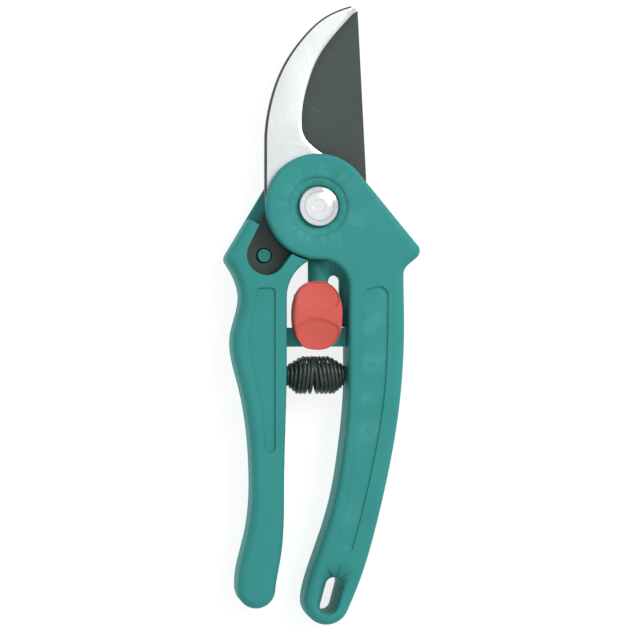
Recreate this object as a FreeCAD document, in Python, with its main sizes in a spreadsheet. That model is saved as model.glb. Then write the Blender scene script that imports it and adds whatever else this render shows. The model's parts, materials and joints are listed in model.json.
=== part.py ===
# Bypass pruning shears, closed and locked, lying on their back.
# Frame: origin on the pivot axis at the resting face, +X to the right-hand grip, +Y to the blade tips,
# +Z up through the thickness. All sizes in millimetres.
import FreeCAD, Part
import math
import os

doc = FreeCAD.newDocument("pruning_shears")

# ---------------------------------------------------------------- driving dimensions
sheet = doc.addObject("Spreadsheet::Sheet", "sizes")
driving = {
    "handleThickness": 15.0,
    "cheekThickness": 4.3,      # round cheek of each handle, outside the steel
    "bladeThickness": 3.1,
    "plateGap": 0.05,           # sliding gap between blade and hook
    "hookThickness": 3.25,
    "bossRadius": 17.2,
    "rimRadius": 17.8,          # hollow in the opposite handle that the boss turns in
    "plateRadius": 16.4,        # round part of blade and hook about the pivot
    "gripFillet": 3.0,
    "bossFillet": 1.4,
    "headRecessRadius": 9.3,    # floor of the dished recess round the bolt head
    "headRecessDepth": 1.2,
    "headRecessSlope": 1.05,    # bevel from that floor out to the face
    "moatRadius": 7.0,          # groove round the washer's seat
    "moatInnerRadius": 6.1,
    "moatDepth": 0.8,
    "sleeveRadius": 4.0,
    "runningGap": 0.08,
    "shankRadius": 2.6,
    "threadGap": 0.05,
    "boltHeadRadius": 6.3,
    "boltHeadHeight": 2.3,
    "headCrownRadius": 4.7,     # domed middle of the head, inside its sloping rim
    "headRimHeight": 0.75,
    "headCrownStep": 0.15,
    "headCrownRise": 0.75,
    "socketRadius": 2.35,       # corners of the hexagon
    "socketDepth": 2.0,
    "springWasherRadius": 6.0,
    "springWasherHeight": 0.6,
    "nutRecessRadius": 8.0,
    "nutRecessDepth": 2.4,
    "nutWasherRadius": 7.4,
    "nutWasherHeight": 0.6,
    "nutFlangeHeight": 1.2,
    "tangRadius": 6.3,          # round end of each steel tang
    "tangGap": 0.2,
    "pinRadius": 2.1,
    "pinHoleRadius": 2.6,
    "pinHeight": 4.0,
    "webFloor": 5.7,
    "webThickness": 3.6,
    "pocketDepth": 0.75,        # shallow panel moulded into each grip
    "slotRadius": 2.7,          # hanging slot in the right grip
    "buttonWidth": 16.1,
    "buttonLength": 22.3,
    "buttonHeight": 6.5,
    "buttonGap": 0.2,           # between lock button and the web it slides on
    "buttonFillet": 1.1,
    "dishRadius": 34.0,
    "dishDepth": 1.6,
    "buttonBackHeight": 4.8,
    "screwRadius": 1.1,
    "screwHeadRadius": 2.1,
    "screwHeadHeight": 1.2,
    "screwHeadSink": 0.3,       # how far the head lies inside the back cap
    "screwHeadRound": 0.3,
    "screwSlotWidth": 0.5,
    "screwSlotDepth": 0.5,
    "bladeBevelDown": 2.7,
    "bladeBevelAcross": 4.2,
    "hookBevelDown": 0.45,
    "hookBevelAcross": 1.3,
    "hookBackBevel": 0.6,       # blunted outer edge of the hook
    "springWire": 1.15,
    "springEndRadius": 3.0,
    "springMiddleRadius": 6.3,
    "springSeatY": -54.8,
    "pegRadius": 1.6,
    "pegLength": 2.6,
}
for row, (alias, value) in enumerate(driving.items(), start=1):
    sheet.set(f"A{row}", alias)
    sheet.set(f"B{row}", str(value))
    sheet.setAlias(f"B{row}", alias)
doc.recompute()


def size(alias):
    return float(sheet.get(alias))


# Levels through the thickness, as expressions on the sheet and as numbers.
bladeFloor = "sizes.cheekThickness"
hookFloor = "sizes.cheekThickness + sizes.bladeThickness + sizes.plateGap"
cheekFloor = "sizes.handleThickness - sizes.cheekThickness"
handleTop = "sizes.handleThickness"
springLevel = size("handleThickness") / 2


# ---------------------------------------------------------------- outline helpers
def vec(point, z=0.0):
    return FreeCAD.Vector(point[0], point[1], z)


def polar(centre, radius, degrees):
    angle = math.radians(degrees)
    return (centre[0] + radius * math.cos(angle), centre[1] + radius * math.sin(angle))


def line(start, end):
    return Part.LineSegment(vec(start), vec(end))


def arcThrough(start, middle, end):
    return Part.ArcOfCircle(vec(start), vec(middle), vec(end))


def arcAbout(centre, radius, fromDegrees, toDegrees):
    """Arc about a centre, from one angle to the other, whichever way round that is."""
    middle = polar(centre, radius, (fromDegrees + toDegrees) / 2)
    return arcThrough(polar(centre, radius, fromDegrees), middle, polar(centre, radius, toDegrees))


def circle(centre, radius):
    return Part.Circle(vec(centre), FreeCAD.Vector(0, 0, 1), radius)


def spline(points, startDegrees, endDegrees):
    """Smooth curve through the points, leaving and arriving in the given directions."""
    curve = Part.BSplineCurve()
    curve.interpolate(
        Points=[vec(point) for point in points],
        InitialTangent=vec(polar((0, 0), 1, startDegrees)),
        FinalTangent=vec(polar((0, 0), 1, endDegrees)),
        Scale=False,
    )
    return curve


def polygon(points):
    return [line(start, end) for start, end in zip(points, points[1:] + points[:1])]


def slotOutline(start, end, radius):
    heading = math.degrees(math.atan2(end[1] - start[1], end[0] - start[0]))
    return [
        arcAbout(end, radius, heading - 90, heading + 90),
        line(polar(end, radius, heading + 90), polar(start, radius, heading + 90)),
        arcAbout(start, radius, heading + 90, heading + 270),
        line(polar(start, radius, heading - 90), polar(end, radius, heading - 90)),
    ]


def tangentNormal(bigRadius, centre, smallRadius, side):
    """Direction, in degrees, of the normal shared by a circle about the pivot and a smaller one."""
    distance = math.hypot(*centre)
    heading = math.degrees(math.atan2(centre[1], centre[0]))
    return heading + side * math.degrees(math.acos((bigRadius - smallRadius) / distance))


# ---------------------------------------------------------------- body helpers
def newBody(name):
    body = doc.addObject("PartDesign::Body", name)
    body.Label = name
    return body


def originPlane(body, role):
    return next(item for item in body.Origin.OriginFeatures if item.Role == role)


def sketchOn(body, name, curves, level="0", role="XY_Plane"):
    sketch = body.newObject("Sketcher::SketchObject", name + "_sketch")
    sketch.AttachmentSupport = [(originPlane(body, role), "")]
    sketch.MapMode = "FlatFace"
    sketch.addGeometry(curves, False)
    sketch.setExpression("AttachmentOffset.Base.z", level)
    return sketch


def pad(body, name, curves, floor, height, refine=True):
    feature = body.newObject("PartDesign::Pad", name)
    feature.Profile = sketchOn(body, name, curves, floor)
    feature.setExpression("Length", height)
    feature.Refine = refine
    doc.recompute()
    return feature


def pocket(body, name, curves, ceiling, depth, refine=True):
    """Cuts down from the ceiling level, and stops if nothing came away."""
    before = body.Shape.Volume
    feature = body.newObject("PartDesign::Pocket", name)
    feature.Profile = sketchOn(body, name, curves, ceiling)
    feature.setExpression("Length", depth)
    feature.Refine = refine
    doc.recompute()
    if body.Shape.Volume >= before - 1e-3:
        raise RuntimeError(f"{name} cuts nothing")
    return feature


def edgeNumbers(shape, chosen):
    return [number for number, edge in enumerate(shape.Edges, start=1) if chosen(edge)]


def liesFlatAt(edge, level):
    box = edge.BoundBox
    return abs(box.ZMin - level) < 1e-4 and abs(box.ZMax - level) < 1e-4


def onOutline(curves, level):
    """Chooses the edges that lie at this level along these curves."""
    middles = [curve.value((curve.FirstParameter + curve.LastParameter) / 2) for curve in curves]
    marks = [Part.Vertex(middle.x, middle.y, level) for middle in middles]
    return lambda edge: liesFlatAt(edge, level) and any(edge.distToShape(mark)[0] < 1e-4 for mark in marks)


def bevel(body, name, kind, amount, chosen):
    """Fillet or Chamfer on the chosen edges of the body so far."""
    base = body.Tip
    names = [f"Edge{number}" for number in edgeNumbers(base.Shape, chosen)]
    if not names:
        raise RuntimeError(f"{name} finds no edge")
    feature = body.newObject("PartDesign::" + kind, name)
    feature.Base = (base, names)
    feature.setExpression("Radius" if kind == "Fillet" else "Size", amount)
    doc.recompute()
    return feature


# ---------------------------------------------------------------- shared shapes of the head
pivot = (0.0, 0.0)
bossRadius = size("bossRadius")
rimRadius = size("rimRadius")
plateRadius = size("plateRadius")
tangRadius = size("tangRadius")
tangNeckRadius = 14.6   # circle about the pivot that the long side of each tang is tangent to
bladeTang = (-17.0, -15.8)
hookTang = (18.4, -15.2)

rightShoulder = (30.95, -14.2)
rightShoulderRadius = 2.8
leftShoulder = (-27.2, -17.0)
leftShoulderRadius = 2.7
stepReach = 15.3        # how far down the shoulder line the full thickness starts
rightInnerWall = 10.0
leftInnerWall = -10.35

rightNormal = tangentNormal(bossRadius, rightShoulder, rightShoulderRadius, 1)
leftNormal = tangentNormal(bossRadius, leftShoulder, leftShoulderRadius, -1)


def circlesMeet(centre, radius, otherRadius, side):
    """Angle about the pivot where a circle of otherRadius there crosses a circle about another centre."""
    distance = math.hypot(*centre)
    heading = math.degrees(math.atan2(centre[1], centre[0]))
    cosine = (otherRadius ** 2 + distance ** 2 - radius ** 2) / (2 * otherRadius * distance)
    return heading + side * math.degrees(math.acos(cosine))


class Tang:
    """Teardrop tang of a steel plate: side 1 runs down to the right, -1 to the left."""

    def __init__(self, centre, side, gap=0.0):
        radius = tangRadius + gap
        neck = tangNeckRadius + gap
        self.longNormal = tangentNormal(neck, centre, radius, side)
        self.shortNormal = -90 - side * 54
        normal = polar(pivot, 1, self.shortNormal)
        offset = centre[0] * normal[0] + centre[1] * normal[1] + radius
        self.longStart = self.longNormal - side * math.degrees(math.acos(neck / plateRadius))
        self.shortStart = self.shortNormal + side * math.degrees(math.acos(offset / plateRadius))
        self.longRoot = polar(pivot, plateRadius, self.longStart)
        self.shortRoot = polar(pivot, plateRadius, self.shortStart)
        self.curves = [
            line(self.longRoot, polar(centre, radius, self.longNormal)),
            arcAbout(centre, radius, self.longNormal, self.shortNormal),
            line(polar(centre, radius, self.shortNormal), self.shortRoot),
        ]

    def closed(self):
        return self.curves + [line(self.shortRoot, self.longRoot)]


def headWedge(normal, side):
    """Half-plane beyond the step, where a handle is only its cheek; side 1 is the right handle."""
    along = normal - side * 90
    footing = polar(pivot, stepReach, along)
    outside = polar(footing, 40, normal)
    inside = polar(footing, -14, normal)
    return polygon([outside, polar(outside, -60, along), polar(inside, -60, along), inside])


# ---------------------------------------------------------------- handle outlines
def rightHandleOutline():
    boss = polar(pivot, bossRadius, rightNormal)
    shoulderTurn = -50
    neckRadius = 4.0
    neckWall = 28.3
    neckX = neckWall + neckRadius
    normal = polar(pivot, 1, shoulderTurn)
    neckDrop = (rightShoulderRadius + neckRadius - (neckX - rightShoulder[0]) * normal[0]) / normal[1]
    neck = (neckX, rightShoulder[1] + neckDrop)
    heel = (2.9, -128.3)
    heelRadius = 7.5
    gripOuter = [(28.5, -38), (26.5, -68), (20.3, -99.5), (12.8, -124.2)]
    gripInner = [(-2.3, -118.3), (4.3, -98.9), (8.3, -77.6)]
    throatRadius = rightInnerWall - 1.0
    throat = (1.0, -bossRadius - throatRadius)
    return [
        line(boss, polar(rightShoulder, rightShoulderRadius, rightNormal)),
        arcAbout(rightShoulder, rightShoulderRadius, rightNormal, shoulderTurn),
        line(polar(rightShoulder, rightShoulderRadius, shoulderTurn),
             polar(neck, neckRadius, 180 + shoulderTurn)),
        arcAbout(neck, neckRadius, 180 + shoulderTurn, 180),
        spline([polar(neck, neckRadius, 180)] + gripOuter + [polar(heel, heelRadius, -23)], -90, -113),
        arcAbout(heel, heelRadius, -23, -185),
        spline([polar(heel, heelRadius, -185)] + gripInner + [(rightInnerWall, -56)], 85, 90),
        line((rightInnerWall, -56), polar(throat, throatRadius, 0)),
        arcAbout(throat, throatRadius, 0, 90),
        line(polar(throat, throatRadius, 90), polar(pivot, bossRadius, -90)),
        arcAbout(pivot, bossRadius, -90, rightNormal - 360),
    ]


def leftHandleOutline():
    heel = (-20.1, -123.9)
    heelRadius = 6.2
    throatRadius = 13.4
    throat = (leftInnerWall + throatRadius, -29.5)
    blendRadius = 1.5
    meeting = circlesMeet(throat, throatRadius - blendRadius, bossRadius + blendRadius, -1)
    blend = polar(pivot, bossRadius + blendRadius, meeting)
    throatTurn = math.degrees(math.atan2(blend[1] - throat[1], blend[0] - throat[0]))
    gripOuter = [(-25.2, -29.3), (-27.8, -42), (-25.2, -58.2), (-21.7, -84), (-23.2, -106.7)]
    gripInner = [(-12.2, -114), (-11.1, -90)]
    shoulderTurn = leftNormal + 360 + 66
    return [
        line(polar(pivot, bossRadius, leftNormal), polar(leftShoulder, leftShoulderRadius, leftNormal)),
        arcAbout(leftShoulder, leftShoulderRadius, leftNormal + 360, shoulderTurn),
        spline([polar(leftShoulder, leftShoulderRadius, shoulderTurn)] + gripOuter
               + [polar(heel, heelRadius, 185)], shoulderTurn + 90, 275),
        arcAbout(heel, heelRadius, 185, 355),
        spline([polar(heel, heelRadius, 355)] + gripInner + [(leftInnerWall, -50)], 85, 90),
        line((leftInnerWall, -50), polar(throat, throatRadius, 180)),
        arcAbout(throat, throatRadius, 180, throatTurn),
        arcAbout(blend, blendRadius, throatTurn, meeting + 180),
        arcAbout(pivot, bossRadius, meeting, leftNormal + 360),
    ]


def roundedBlank(name, outline, radii):
    """Full-thickness blank with its two rims rounded; radii gives each outline curve its start and end."""
    blank = newBody(name + "_blank")
    pad(blank, name + "_blank_pad", outline, "0", handleTop)
    edges = []
    for level in (0.0, size("handleThickness")):
        for curve, (startRadius, endRadius) in zip(outline, radii):
            start = vec((curve.StartPoint.x, curve.StartPoint.y), level)
            middleAt = curve.value((curve.FirstParameter + curve.LastParameter) / 2)
            middle = Part.Vertex(middleAt.x, middleAt.y, level)
            for number, edge in enumerate(blank.Shape.Edges, start=1):
                if liesFlatAt(edge, level) and edge.distToShape(middle)[0] < 1e-4:
                    first = edge.valueAt(edge.FirstParameter)
                    forward = first.distanceToPoint(start) < 1e-4
                    radiusPair = (startRadius, endRadius) if forward else (endRadius, startRadius)
                    edges.append((number, *radiusPair))
    rounded = doc.addObject("Part::Fillet", name + "_rounded")
    rounded.Base = blank
    rounded.Edges = edges
    doc.recompute()
    return rounded


gripRound = size("gripFillet")
bossRound = size("bossFillet")
growing = [(bossRound, gripRound)]
shrinking = [(gripRound, bossRound)]
rightRadii = growing + [(gripRound, gripRound)] * 5 + shrinking + [(bossRound, bossRound)] * 4
leftRadii = growing + [(gripRound, gripRound)] * 3 + shrinking + [(bossRound, bossRound)] * 4

rightBlank = roundedBlank("right_handle", rightHandleOutline(), rightRadii)
leftBlank = roundedBlank("left_handle", leftHandleOutline(), leftRadii)


# ---------------------------------------------------------------- right handle, with its front cheek
rightTang = Tang(hookTang, 1, size("tangGap"))
tongueLeft, tongueRight, slotRight = -2.4, 3.85, 7.8
tongueEnd = -38.2
webSlotTop = -24.2
webSlotRadius = (slotRight - tongueRight) / 2
webRimRadius = plateRadius + 0.4     # the web starts just outside the turning plates, under the boss
webRoot = -math.sqrt(webRimRadius ** 2 - tongueLeft ** 2)
webRimEnd = -58
webInside = rightInnerWall + 3
lugTop, lugBottom = -39.3, -45.5
webRightEnd = lugTop + 0.3
cornerRound = 1.0
hangerTop = (4.75, -122.8)
hangerEnd = (2.95, -129.4)


def rightPanel():
    return [
        spline([(14.6, -29.0), (13.5, -62), (9.7, -89.9), (5.9, -109.3)], -90, -105),
        arcThrough((5.9, -109.3), (7.9, -112.4), (11.1, -111.0)),
        spline([(11.1, -111.0), (17.0, -87.6), (21.5, -62), (22.8, -28.6)], 74, 90),
        arcThrough((22.8, -28.6), (21.6, -26.4), (19.2, -25.9)),
        line((19.2, -25.9), (16.6, -26.7)),
        arcThrough((16.6, -26.7), (15.1, -27.5), (14.6, -29.0)),
    ]


def webOutline():
    bossEnd = math.degrees(math.atan2(webRoot, tongueLeft))
    cornerY = tongueEnd + cornerRound
    leftCorner = tongueLeft + cornerRound
    rightCorner = tongueRight - cornerRound
    return [
        line((tongueLeft, webRoot), (tongueLeft, cornerY)),
        arcAbout((leftCorner, cornerY), cornerRound, 180, 270),
        line((leftCorner, tongueEnd), (rightCorner, tongueEnd)),
        arcAbout((rightCorner, cornerY), cornerRound, 270, 360),
        line((tongueRight, cornerY), (tongueRight, webSlotTop)),
        arcAbout((tongueRight + webSlotRadius, webSlotTop), webSlotRadius, 180, 0),
        line((slotRight, webSlotTop), (slotRight, webRightEnd)),
        line((slotRight, webRightEnd), (webInside, webRightEnd)),
        line((webInside, webRightEnd), polar(pivot, webRimRadius, webRimEnd)),
        arcAbout(pivot, webRimRadius, webRimEnd, bossEnd),
    ]


right = newBody("right_handle")
right.BaseFeature = rightBlank
doc.recompute()
pocket(right, "right_rim", [circle(pivot, rimRadius)], cheekFloor, cheekFloor)
pocket(right, "right_step", headWedge(rightNormal, 1), cheekFloor, cheekFloor)
pocket(right, "hook_tang_recess", rightTang.closed(), cheekFloor, cheekFloor)
pad(right, "hook_tang_pin", [circle(hookTang, size("pinRadius"))],
    cheekFloor + " - sizes.pinHeight", "sizes.pinHeight + 1")
pad(right, "lock_web", webOutline(), "sizes.webFloor", "sizes.webThickness")
pocket(right, "head_recess", [circle(pivot, size("headRecessRadius"))], handleTop, "sizes.headRecessDepth")
bevel(right, "head_recess_slope", "Chamfer", "sizes.headRecessSlope",
      onOutline([circle(pivot, size("headRecessRadius"))], size("handleThickness")))
pocket(right, "head_moat", [circle(pivot, size("moatRadius")), circle(pivot, size("moatInnerRadius"))],
       "sizes.handleThickness - sizes.headRecessDepth", "sizes.moatDepth")
pocket(right, "right_sleeve_bore", [circle(pivot, size("sleeveRadius") + size("threadGap"))],
       "sizes.handleThickness - sizes.headRecessDepth - 1.0", "sizes.handleThickness")
pocket(right, "right_shank_bore", [circle(pivot, size("shankRadius") + size("runningGap"))],
       handleTop, handleTop)
pocket(right, "right_panel", rightPanel(), handleTop, "sizes.pocketDepth")
pocket(right, "hanging_slot", slotOutline(hangerEnd, hangerTop, size("slotRadius")), handleTop, handleTop)

# ---------------------------------------------------------------- left handle, with its back cheek
leftTang = Tang(bladeTang, -1, size("tangGap"))
lugEnd = rightInnerWall - 0.25
lugRoot = leftInnerWall - 3
notchLeft, notchRight, notchDepth = -7.3, -2.4, 1.8


def leftPanel():
    return [
        spline([(-20.6, -28.2), (-22.9, -43), (-19.7, -60.4), (-17.9, -77.4)], -95, -88),
        arcThrough((-17.9, -77.4), (-16.3, -79.5), (-14.2, -77.6)),
        line((-14.2, -77.6), (-14.2, -27.6)),
        arcThrough((-14.2, -27.6), (-14.6, -26.7), (-15.4, -26.4)),
        line((-15.4, -26.4), (-19.2, -26.4)),
        arcThrough((-19.2, -26.4), (-20.3, -27.0), (-20.6, -28.2)),
    ]


def lugOutline():
    return polygon([
        (lugRoot, lugTop), (notchLeft, lugTop), (notchLeft, lugTop - notchDepth),
        (notchRight, lugTop - notchDepth), (notchRight, lugTop), (lugEnd, lugTop),
        (lugEnd, lugBottom), (lugRoot, lugBottom),
    ])


left = newBody("left_handle")
left.BaseFeature = leftBlank
doc.recompute()
aboveCheek = "sizes.handleThickness - sizes.cheekThickness"
pocket(left, "left_rim", [circle(pivot, rimRadius)], handleTop, aboveCheek)
pocket(left, "left_step", headWedge(leftNormal, -1), handleTop, aboveCheek)
pocket(left, "blade_tang_recess", leftTang.closed(), handleTop, aboveCheek)
pad(left, "blade_tang_pin", [circle(bladeTang, size("pinRadius"))],
    "sizes.cheekThickness - 1", "sizes.pinHeight + 1")
pad(left, "lock_lug", lugOutline(), "sizes.webFloor", "sizes.webThickness")
pocket(left, "nut_recess", [circle(pivot, size("nutRecessRadius"))],
       "sizes.nutRecessDepth", "sizes.nutRecessDepth")
pocket(left, "left_sleeve_bore", [circle(pivot, size("sleeveRadius") + size("runningGap"))],
       handleTop, handleTop)
pocket(left, "left_panel", leftPanel(), handleTop, "sizes.pocketDepth")


# ---------------------------------------------------------------- spring pegs on the grips' inner walls
pegRoot = 2.0           # how deep each peg runs into its grip


def springPeg(body, name, wall, side):
    """Short peg that stands out of a wall along X; side 1 points to +X."""
    ring = circle((size("springSeatY"), springLevel), size("pegRadius"))
    feature = body.newObject("PartDesign::Pad", name)
    feature.Profile = sketchOn(body, name, [ring], str(wall - side * pegRoot), "YZ_Plane")
    feature.Reversed = side < 0
    feature.setExpression("Length", f"sizes.pegLength + {pegRoot}")
    doc.recompute()
    return feature


springPeg(left, "left_peg", leftInnerWall, 1)
springPeg(right, "right_peg", rightInnerWall, -1)


# ---------------------------------------------------------------- steel plates
def bladeOutline():
    tang = Tang(bladeTang, -1)
    tip = (13.95, 64.6)
    backEnd = (16.75, 10.0)
    backTurn = 10
    heelTurn = 140
    edge = [(-10.3, 18), (-9.3, 28), (-7.0, 39), (-2.4, 49), (4.8, 57.3)]
    return [
        line(tip, backEnd),
        arcThrough(backEnd, (16.65, 6.4), polar(pivot, plateRadius, backTurn)),
        arcAbout(pivot, plateRadius, backTurn, tang.shortStart),
        *tang.curves,
        arcAbout(pivot, plateRadius, tang.longStart + 360, heelTurn),
        spline([polar(pivot, plateRadius, heelTurn)] + edge + [tip], 78, 31),
    ]


def hookOutline():
    tang = Tang(hookTang, 1)
    tipOuter = (11.0, 65.6)
    tipInner = (13.2, 64.5)
    mouthTurn = 66
    heelTurn = -165
    flank = -17.0
    flankTop = 21.0
    throat = [(8.2, 59.1), (3.3, 53.2), (-0.4, 47.2), (-3.0, 40.1),
              (-4.6, 33.3), (-5.0, 27.4), (-4.4, 23.5), (-1.3, 19.6)]
    crown = [(-15.75, 32.1), (-11.3, 45.2), (-4.7, 55.1), (2.4, 61.8)]
    return [
        line(tipOuter, tipInner),
        spline([tipInner] + throat + [polar(pivot, plateRadius, mouthTurn)], 225, mouthTurn - 90),
        arcAbout(pivot, plateRadius, mouthTurn, tang.longStart),
        *tang.curves,
        arcAbout(pivot, plateRadius, tang.shortStart, heelTurn),
        spline([polar(pivot, plateRadius, heelTurn), (flank, 3)], heelTurn - 90, 90),
        line((flank, 3), (flank, flankTop)),
        spline([(flank, flankTop)] + crown + [tipOuter], 90, 16),
    ]


def groundEdge(body, name, level, curves, down, across):
    """Bevel ground along some curves of a plate's outline, given down the edge and across the face."""
    base = body.Tip
    feature = body.newObject("PartDesign::Chamfer", name)
    feature.Base = (base, [f"Edge{number}" for number in edgeNumbers(base.Shape, onOutline(curves, level))])
    feature.ChamferType = "Two distances"
    feature.setExpression("Size", "sizes." + down)
    feature.setExpression("Size2", "sizes." + across)
    doc.recompute()


blade = newBody("cutting_blade")
pad(blade, "blade_plate", bladeOutline(), bladeFloor, "sizes.bladeThickness")
pocket(blade, "blade_bore", [circle(pivot, size("sleeveRadius") + size("runningGap"))],
       handleTop, handleTop)
pocket(blade, "blade_pin_hole", [circle(bladeTang, size("pinHoleRadius"))], handleTop, handleTop)
groundEdge(blade, "blade_bevel", size("cheekThickness"), bladeOutline()[-1:],
           "bladeBevelDown", "bladeBevelAcross")

hook = newBody("hook_blade")
pad(hook, "hook_plate", hookOutline(), hookFloor, "sizes.hookThickness")
pocket(hook, "hook_bore", [circle(pivot, size("sleeveRadius") + size("threadGap"))], handleTop, handleTop)
pocket(hook, "hook_pin_hole", [circle(hookTang, size("pinHoleRadius"))], handleTop, handleTop)
hookTop = size("handleThickness") - size("cheekThickness")
groundEdge(hook, "hook_bevel", hookTop, hookOutline()[1:2], "hookBevelDown", "hookBevelAcross")
groundEdge(hook, "hook_back_bevel", hookTop, hookOutline()[-2:], "hookBackBevel", "hookBackBevel")


# ---------------------------------------------------------------- pivot hardware
def turned(name, profile):
    """Round piece turned about the pivot axis from a closed (radius, level) profile."""
    body = newBody(name)
    sketch = sketchOn(body, name + "_profile", profile, "0", "XZ_Plane")
    feature = body.newObject("PartDesign::Revolution", name + "_turn")
    feature.Profile = sketch
    feature.ReferenceAxis = (sketch, ["V_Axis"])
    feature.Angle = 360
    doc.recompute()
    return body


seat = size("handleThickness") - size("headRecessDepth")
headFloor = seat + size("springWasherHeight")
headRadius = size("boltHeadRadius")
shank = size("shankRadius")
shankEnd = 3.0
headRim = headFloor + size("headRimHeight")
crownRadius = size("headCrownRadius")
headTop = headFloor + size("boltHeadHeight")
crownFoot = headTop - size("headCrownRise")
domeRadius = (crownRadius ** 2 + size("headCrownRise") ** 2) / (2 * size("headCrownRise"))
domeCentre = (0, headTop - domeRadius)
domeEdge = 90 - math.degrees(math.asin(crownRadius / domeRadius))
rimInside = (crownRadius, crownFoot - size("headCrownStep"))

bolt = turned("pivot_bolt", [
    line((0, shankEnd), (shank, shankEnd)),
    line((shank, shankEnd), (shank, headFloor)),
    line((shank, headFloor), (headRadius, headFloor)),
    line((headRadius, headFloor), (headRadius, headRim)),
    line((headRadius, headRim), rimInside),
    line(rimInside, (crownRadius, crownFoot)),
    arcAbout(domeCentre, domeRadius, domeEdge, 90),
    line((0, headTop), (0, shankEnd)),
])
socketCorners = [polar(pivot, size("socketRadius"), 60 * corner) for corner in range(6)]
pocket(bolt, "bolt_socket", polygon(socketCorners), str(headTop), "sizes.socketDepth")

ringIn = shank + size("runningGap")
ringOut = size("springWasherRadius")
turned("spring_washer", polygon([
    (ringIn, seat), (ringOut, seat), (ringOut, headFloor), (ringIn, headFloor),
]))

washerPlay = 0.05
nutSeat = size("nutRecessDepth") - washerPlay
nutWasherFloor = nutSeat - size("nutWasherHeight")
flangeFloor = nutWasherFloor - size("nutFlangeHeight")
flangeRadius = size("nutWasherRadius") - 0.6
sleeve = size("sleeveRadius")
sleeveGap = sleeve + size("runningGap")
sleeveSink = 1.0        # the sleeve ends this far under the washer's seat
sleeveTop = seat - sleeveSink
boreRadius = shank + size("threadGap")
turned("nut_washer", polygon([
    (sleeveGap, nutWasherFloor), (size("nutWasherRadius"), nutWasherFloor),
    (size("nutWasherRadius"), nutSeat), (sleeveGap, nutSeat),
]))
turned("sleeve_nut", polygon([
    (boreRadius, flangeFloor), (flangeRadius, flangeFloor), (flangeRadius, nutWasherFloor),
    (sleeve, nutWasherFloor), (sleeve, sleeveTop), (boreRadius, sleeveTop),
]))


# ---------------------------------------------------------------- return spring, as its hollow barrel
def springProfile():
    wire = size("springWire")
    end, middle = size("springEndRadius"), size("springMiddleRadius")
    left, right = leftInnerWall + 0.05, rightInnerWall - 0.05
    taper = 4.2
    outer = [(left, end), (left + taper, middle), (right - taper, middle), (right, end)]
    inner = [(x, radius - wire) for x, radius in reversed(outer)]
    return outer + inner


spring = newBody("return_spring")
springSketch = sketchOn(spring, "spring_profile", polygon(springProfile()))
springTurn = spring.newObject("PartDesign::Revolution", "spring_turn")
springTurn.Profile = springSketch
springTurn.ReferenceAxis = (springSketch, ["H_Axis"])
springTurn.Angle = 360
spring.Placement.Base = FreeCAD.Vector(0, size("springSeatY"), springLevel)

# ---------------------------------------------------------------- sliding lock
buttonCentre = (-0.35, -35.35)
webTop = size("webFloor") + size("webThickness")
buttonFloor = webTop + size("buttonGap")
backTop = size("webFloor") - size("buttonGap")
leftPost = (-7.0, -2.7, -37.6, -28.5)
rightPost = (4.15, 7.5, -37.6, -29.0)


def ovalOutline(scale):
    """Superellipse of the button's width and length, through evenly turned points."""
    halfWidth = size("buttonWidth") / 2 * scale
    halfLength = size("buttonLength") / 2 * scale
    power = 2 / 2.35
    points = []
    steps = 16
    for step in range(steps):
        angle = 2 * math.pi * step / steps
        x = math.copysign(abs(math.cos(angle)) ** power, math.cos(angle)) * halfWidth
        y = math.copysign(abs(math.sin(angle)) ** power, math.sin(angle)) * halfLength
        points.append(vec((buttonCentre[0] + x, buttonCentre[1] + y)))
    curve = Part.BSplineCurve()
    curve.interpolate(Points=points, PeriodicFlag=True)
    return [curve]


def rectangle(left, right, bottom, top):
    return polygon([(left, bottom), (right, bottom), (right, top), (left, top)])


def postPad(name, corners):
    pad(button, name, rectangle(*corners), "sizes.webFloor - sizes.buttonGap",
        "sizes.webThickness + 2 * sizes.buttonGap + 1", refine=False)


def fingerDish(name, centre):
    """Shallow spherical scoop in the face of the button."""
    dish = button.newObject("PartDesign::SubtractiveSphere", name)
    dish.AttachmentSupport = [(originPlane(button, "XY_Plane"), "")]
    dish.MapMode = "FlatFace"
    dish.Refine = False     # merging faces from here on would break the rounded rim
    dish.AttachmentOffset.Base = vec(centre)
    dish.setExpression("Radius", "sizes.dishRadius")
    dish.setExpression(
        "AttachmentOffset.Base.z",
        f"{buttonFloor} + sizes.buttonHeight + sizes.dishRadius - sizes.dishDepth",
    )
    doc.recompute()


screwAt = ((leftPost[0] + leftPost[1]) / 2, -32.5)
screwGap = 0.05
buttonTop = buttonFloor + size("buttonHeight")
backFloor = backTop - size("buttonBackHeight")
screwHeadFloor = backFloor + size("screwHeadSink")
screwHeadTop = screwHeadFloor + size("screwHeadHeight")
screwTop = buttonFloor + 1.2
slotEnd = size("screwHeadRadius") + 1

button = newBody("lock_button")
pad(button, "button_cap", ovalOutline(1.0), str(buttonFloor), "sizes.buttonHeight")
bevel(button, "button_rim", "Fillet", "sizes.buttonFillet", lambda edge: liesFlatAt(edge, buttonTop))
fingerDish("upper_dish", (-0.7, -24.1))
fingerDish("lower_dish", (-0.7, -46.6))
postPad("button_left_post", leftPost)
postPad("button_right_post", rightPost)
pocket(button, "button_screw_hole", [circle(screwAt, size("screwRadius") + screwGap)],
       str(screwTop + screwGap), str(size("buttonLength")), refine=False)

buttonBack = newBody("lock_button_back")
pad(buttonBack, "back_cap", ovalOutline(0.86), str(backFloor), "sizes.buttonBackHeight")
bevel(buttonBack, "back_rim", "Fillet", "sizes.buttonFillet", lambda edge: liesFlatAt(edge, backFloor))
pocket(buttonBack, "back_screw_hole", [circle(screwAt, size("screwRadius") + screwGap)],
       str(backTop), "sizes.buttonBackHeight")
pocket(buttonBack, "back_screw_head", [circle(screwAt, size("screwHeadRadius") + screwGap)],
       str(screwHeadTop), "sizes.buttonBackHeight")

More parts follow.
